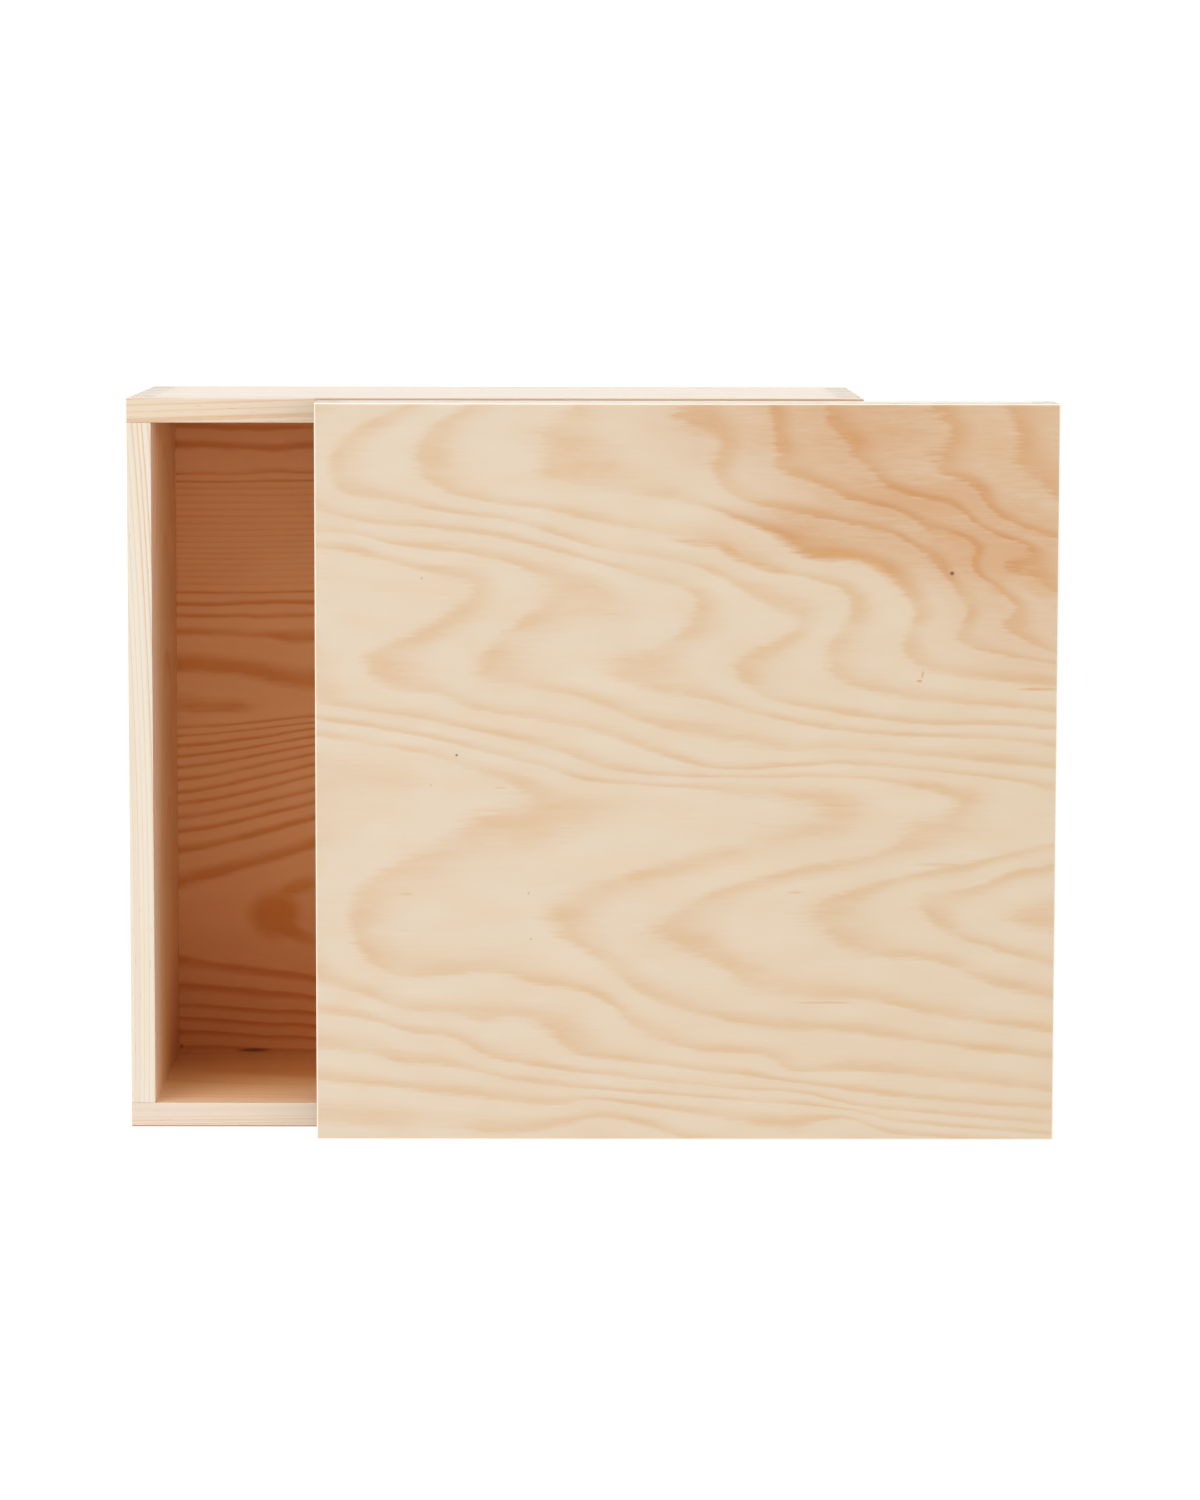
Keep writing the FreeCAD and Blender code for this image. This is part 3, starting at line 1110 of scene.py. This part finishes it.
@dataclass
class BoxBody:
    """The open box: four boards with finger joints, and the panel grooved into them.

    Attributes:
        joiner: What makes its pieces.
        boards: The boards, each with its wood.
        back: The back panel's plywood.
    """

    joiner: Joiner = field(default_factory=lambda: Joiner("box", tuple(members("box"))))
    boards: tuple[Board, ...] = (
        Board("side_board_upper", SolidPine(
            Grain.ACROSS, (-0.052, 0.3959), (0.02, 0.032), 0.0029, 1.3, early=shade(195, 178, 156),
            late=shade(183, 131, 78),
            # The painted shadow of the gap behind the lid's top edge.
            shadow_lines=(ShadowLine((-0.0735, -0.0705, 0.2989), (0.1505, -0.0695, 0.3003), 0.6,
                          shade(192, 134, 76)),))),
        Board("side_board_lower", SolidPine(
            Grain.ACROSS, (0.0, -0.415), (-0.03, 0.004), 0.0018, 4.7, early=shade(196, 180, 165),
            late=shade(186, 144, 102),
            # Painted interior light and shade for this board.
            painted_interior=PaintedInteriorLight(mouth_painted_light=(1.66, 1.4, 1.07, 1.0), deep_painted_light=(1.62, 1.15, 0.62, 1.0)),
            # A painted contact shadow along the board's bottom front edge.
            shadow_lines=(ShadowLine((-0.1505, -0.0705, -0.0005), (0.1505, -0.0693, 0.0007)),))),
        Board("end_board_left", SolidPine(
            Grain.UPRIGHT, (-0.445, 0.0), (0.02, 0.02), 0.0021, 7.9, -0.15,
            # Painted interior light and shade for this board.
            painted_interior=PaintedInteriorLight(mouth_painted_light=(1.7, 1.42, 1.25, 1.0), deep_painted_light=(1.68, 1.25, 0.76, 1.0)))),
        Board("end_board_right", SolidPine(Grain.UPRIGHT, (0.238, 0.012), (-0.02, 0.03), 0.0025, 11.2)),
    )
    back: Veneer = Veneer(
        plies=3,
        light=shade(199, 180, 158),
        far_light=shade(199, 180, 158),
        ring_tint=(0.82, 0.6, 0.29, 1.0),
        ring_length=0.6,
        ring_strength=1.1,
        faint=(20.5, 36.9),
        flush=shade(182, 144, 74),
        flush_tint=(0.82, 0.62, 0.4, 1.0),
        flushes=(Spot(46.5, 65, 15.5, 15, 1.2), Spot(57, 77.5, 12, 5, 0.9, -16),
                 Spot(57, 56, 12, 5, 0.9, 24)),
        # Two dark marks low on the front face: a long streak along its bottom edge, and a small spot near
        # its left corner.
        pin_knots=(Spot(37, 5.2, 10, 1.2, 0.8), Spot(5.4, 7, 1.1, 1.4, 0.6)),
        # Painted interior light and shade, with the painted shade reaching higher up the back panel.
        painted_interior=PaintedInteriorLight(deep_painted_light=(1.48, 0.85, 0.446, 1.0), shade_height=0.13),
        gloss=0.12,
    )

    def build(self) -> list[bpy.types.Object]:
        """Makes every piece of the box.

        Returns:
            The pieces.
        """
        pieces = [self.joiner.board(board) for board in self.boards]
        rear = (LID_FIGURE, Turn.HALF_ROUND)
        return [*pieces, self.joiner.panel("back_panel", self.back, BACK_FIGURE, rear, arris=0.0)]


@dataclass
class SlidingLid:
    """The lid: a veneered panel on a frame of rails, with the strips that guide it and their brads.

    Attributes:
        joiner: What makes its pieces.
        boards: The rails and strips, each with its wood.
        face: The panel's plywood.
        face_arris: The radius that the panel's front edges are rounded to.
    """

    joiner: Joiner = field(default_factory=lambda: Joiner("lid", tuple(members("lid"))))
    boards: tuple[Board, ...] = (
        Board("lid_rail_upper", SolidPine(Grain.ACROSS, (-0.09, 0.375), (0.01, -0.04), 0.0024, 15.1)),
        Board("lid_rail_lower", SolidPine(Grain.ACROSS, (-0.08, -0.085), (-0.02, 0.03), 0.0022, 18.6)),
        Board("lid_end_rail_left", SolidPine(Grain.UPRIGHT, (-0.155, -0.11), (0.02, 0.03), 0.0020, 21.4)),
        Board("lid_end_rail_right", SolidPine(Grain.UPRIGHT, (0.300, -0.075), (0.03, -0.02), 0.0024, 24.8)),
        Board("guide_strip_upper", SolidPine(Grain.ACROSS, (-0.03, 0.245), (0.02, 0.02), 0.0019, 27.3)),
        Board("guide_strip_lower", SolidPine(Grain.ACROSS, (-0.12, 0.055), (0.02, -0.02), 0.0020, 30.9)),
        Board("closing_strip", SolidPine(Grain.UPRIGHT, (0.180, -0.03), (-0.01, 0.02), 0.0021, 33.5)),
    )
    face: Veneer = Veneer(
        plies=5,
        light=shade(190, 174, 154),
        far_light=shade(186, 169, 146),
        ring_tint=(0.95, 0.83, 0.69, 1.0),
        ring_length=0.7,
        fray=0.3,
        flush=shade(176, 139, 102),
        flush_tint=(0.93, 0.77, 0.54, 1.0),
        flushes=(Spot(275, 285, 115, 85, 0.7), Spot(235, 247, 88, 32, 0.6), Spot(285, 215, 45, 42, 0.45),
                 Spot(190, 296, 85, 42, 0.6), Spot(182, 246, 45, 18, 0.45, 8)),
        flush_from=5.9,
        resin=(Spot(155, 243, 16, 2.4, 0.7, 6), Spot(168, 238.5, 9, 3, 0.8, 28),
               Spot(182, 233, 12, 2.4, 0.7, 14), Spot(209, 238.5, 18, 3.2, 0.9, 3),
               Spot(227, 234, 10, 3.5, 0.8, 22), Spot(254, 246.3, 13, 1.8, 0.6, 10),
               Spot(265.5, 238, 3, 8, 0.5), Spot(275, 225, 6, 4, 0.5, 30), Spot(277, 254, 8, 2.5, 0.5, 8),
               Spot(291, 247, 11, 2, 0.5, 14), Spot(291, 225, 10, 5, 0.5, 20),
               Spot(292, 184.2, 12, 0.9, 1.1), Spot(244.8, 190.2, 0.6, 2.4, 1.4, 10),
               Spot(243.6, 187.4, 1.5, 0.7, 1.4), Spot(36.5, 100.7, 4, 0.9, 0.5),
               Spot(194, 101.5, 5, 0.9, 0.5), Spot(251, 113, 12, 1.0, 0.6), Spot(207, 56.4, 19, 0.8, 0.55),
               Spot(75, 144, 4, 0.8, 0.4), Spot(208, 137, 13, 0.8, 0.5)),
        pin_knots=(Spot(256.3, 230.9, 1.2, 1.1, 1.2), Spot(57.1, 157.2, 0.8, 0.7, 0.9),
                   Spot(43.1, 228.7, 0.6, 0.6, 0.5), Spot(86.1, 101.1, 0.6, 0.8, 0.35),
                   Spot(87, 82.4, 0.6, 0.8, 0.35), Spot(46.7, 145, 0.6, 0.6, 0.3)),
    )
    face_arris: float = 1.0 * MM

    def build(self) -> list[bpy.types.Object]:
        """Makes every piece of the lid.

        Returns:
            The pieces.
        """
        rear = (LID_FIGURE, Turn.UPSIDE_DOWN)
        pieces = [self.joiner.panel("lid_panel", self.face, LID_FIGURE, rear, self.face_arris)]
        pieces += [self.joiner.board(board) for board in self.boards]
        brads = frame["nodes"]["guide_strip_brads"]
        for slot in brads.material_slots:
            slot.material = BradSteel().dress("brad_steel")
        return [*pieces, brads]


def members(body: str) -> list[str]:
    """The frame nodes of a body."""
    return frame["record"]["behaviour"]["bodies"][body]


# Studio


@dataclass(frozen=True)
class SoftLight:
    """A soft light from afar.

    Attributes:
        name: Its name.
        travel: The way that it travels.
        strength: Its strength.
        spread: The angle that it comes from, in degrees.
    """

    name: str
    travel: Triple
    strength: float
    spread: float

    def add(self) -> None:
        """Adds the light to the scene."""
        data = bpy.data.lights.new(self.name, "SUN")
        data.energy = self.strength
        data.angle = math.radians(self.spread)
        light = add_object(self.name, data)
        light.rotation_euler = Vector(self.travel).to_track_quat("-Z", "Y").to_euler()


@dataclass(frozen=True)
class Studio:
    """A pale floor, soft light and the camera.

    Attributes:
        lens: The camera's focal length, in millimetres.
        film: The width of its film, in millimetres.
        sight: How far it sees.
        eye: Where it stands.
        dip: How far it looks down, in degrees.
        turn: How far it is turned to the right.
        roll: How far it is rolled to the left.
        floor_radius: The radius of the floor.
        lights: The lights.
        front_glow: The brightness of the surroundings at the horizon that the box faces.
        horizon_glow: The same behind the box.
        flank_glow: The same to its left and right.
        wall_glow: The brightness at half height.
        screen_glow: How much brighter it is there on the side that the box faces.
        ceiling_glow: The brightness overhead.
        flank_end: A direction's part along Y where the flanks begin to fade, and where they have faded.
        wall_foot: Its part along Z where the horizon begins to fade into the walls, and where it has faded.
        wall_top: The same for the walls and the ceiling.
    """

    lens: float = 122.35
    film: float = 36.0
    sight: float = 200.0
    eye: Triple = (0.0315, -2.1452, 0.3771)
    dip: float = 6.071
    turn: float = 0.314
    roll: float = 0.098
    floor_radius: float = 60.0
    lights: tuple[SoftLight, ...] = (
        SoftLight("key_light", (0.22, 0.24, -0.945), 1.75, 60.0),
        SoftLight("left_light", (0.5, 0.78, -0.38), 0.65, 40.0),
        SoftLight("right_light", (-0.72, 0.68, -0.12), 0.6, 40.0),
    )
    front_glow: float = 2.6
    horizon_glow: float = 3.1
    flank_glow: float = 1.0
    wall_glow: float = 0.3
    screen_glow: float = 0.5
    ceiling_glow: float = 0.5
    flank_end: tuple[float, float] = (0.55, 0.8)
    wall_foot: tuple[float, float] = (0.14, 0.24)
    wall_top: tuple[float, float] = (0.5, 0.8)

    def build(self) -> None:
        """Sets up the camera, the floor and the light."""
        self.add_camera()
        self.add_floor()
        for light in self.lights:
            light.add()
        self.add_surroundings()
        bpy.context.scene.view_settings.view_transform = "Standard"

    def add_camera(self) -> None:
        """Adds the camera."""
        data = bpy.data.cameras.new("camera")
        data.lens = self.lens
        data.sensor_width = self.film
        data.clip_end = self.sight
        camera = add_object("camera", data)
        aim = [Matrix.Rotation(math.radians(angle), 4, axis)
               for angle, axis in ((-self.turn, "Z"), (90 - self.dip, "X"), (self.roll, "Z"))]
        camera.matrix_world = Matrix.Translation(self.eye) @ aim[0] @ aim[1] @ aim[2]
        bpy.context.scene.camera = camera

    def add_floor(self) -> None:
        """Adds the floor that the box stands on."""
        shape = bmesh.new()
        bmesh.ops.create_circle(shape, cap_ends=True, segments=96, radius=self.floor_radius)
        mesh = bpy.data.meshes.new("floor")
        shape.to_mesh(mesh)
        shape.free()
        mesh.materials.append(LightTable().dress("light_table"))
        add_object("floor", mesh)

    def add_surroundings(self) -> None:
        """Adds the white surroundings, which are brightest near the horizon."""
        world = bpy.data.worlds.new("surroundings")
        bpy.context.scene.world = world
        paint = Paint(world)
        direction = paint.signal("ShaderNodeTexCoord")
        _, inwards, height = paint.split(direction)
        behind = inwards.eased(*self.flank_end) * (self.horizon_glow - self.flank_glow)
        in_front = (inwards * -1).eased(*self.flank_end)
        horizon = behind + in_front * (self.front_glow - self.flank_glow)
        above = height.eased(*self.wall_foot)
        overhead = height.eased(*self.wall_top) * (self.ceiling_glow - self.wall_glow)
        wall = in_front * self.screen_glow + self.wall_glow
        glow = (1 - above) * (horizon + self.flank_glow) + above * wall + overhead
        light = paint.signal("ShaderNodeBackground", None, WHITE, glow)
        paint.node("ShaderNodeOutputWorld", None, light)


def main() -> None:
    """Builds the studio, the box and its lid."""
    logging.basicConfig(level=logging.INFO, format="%(message)s")
    Studio().build()
    for assembly in (BoxBody(), SlidingLid()):
        for piece in assembly.build():
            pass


if __name__ == "__main__":
    main()
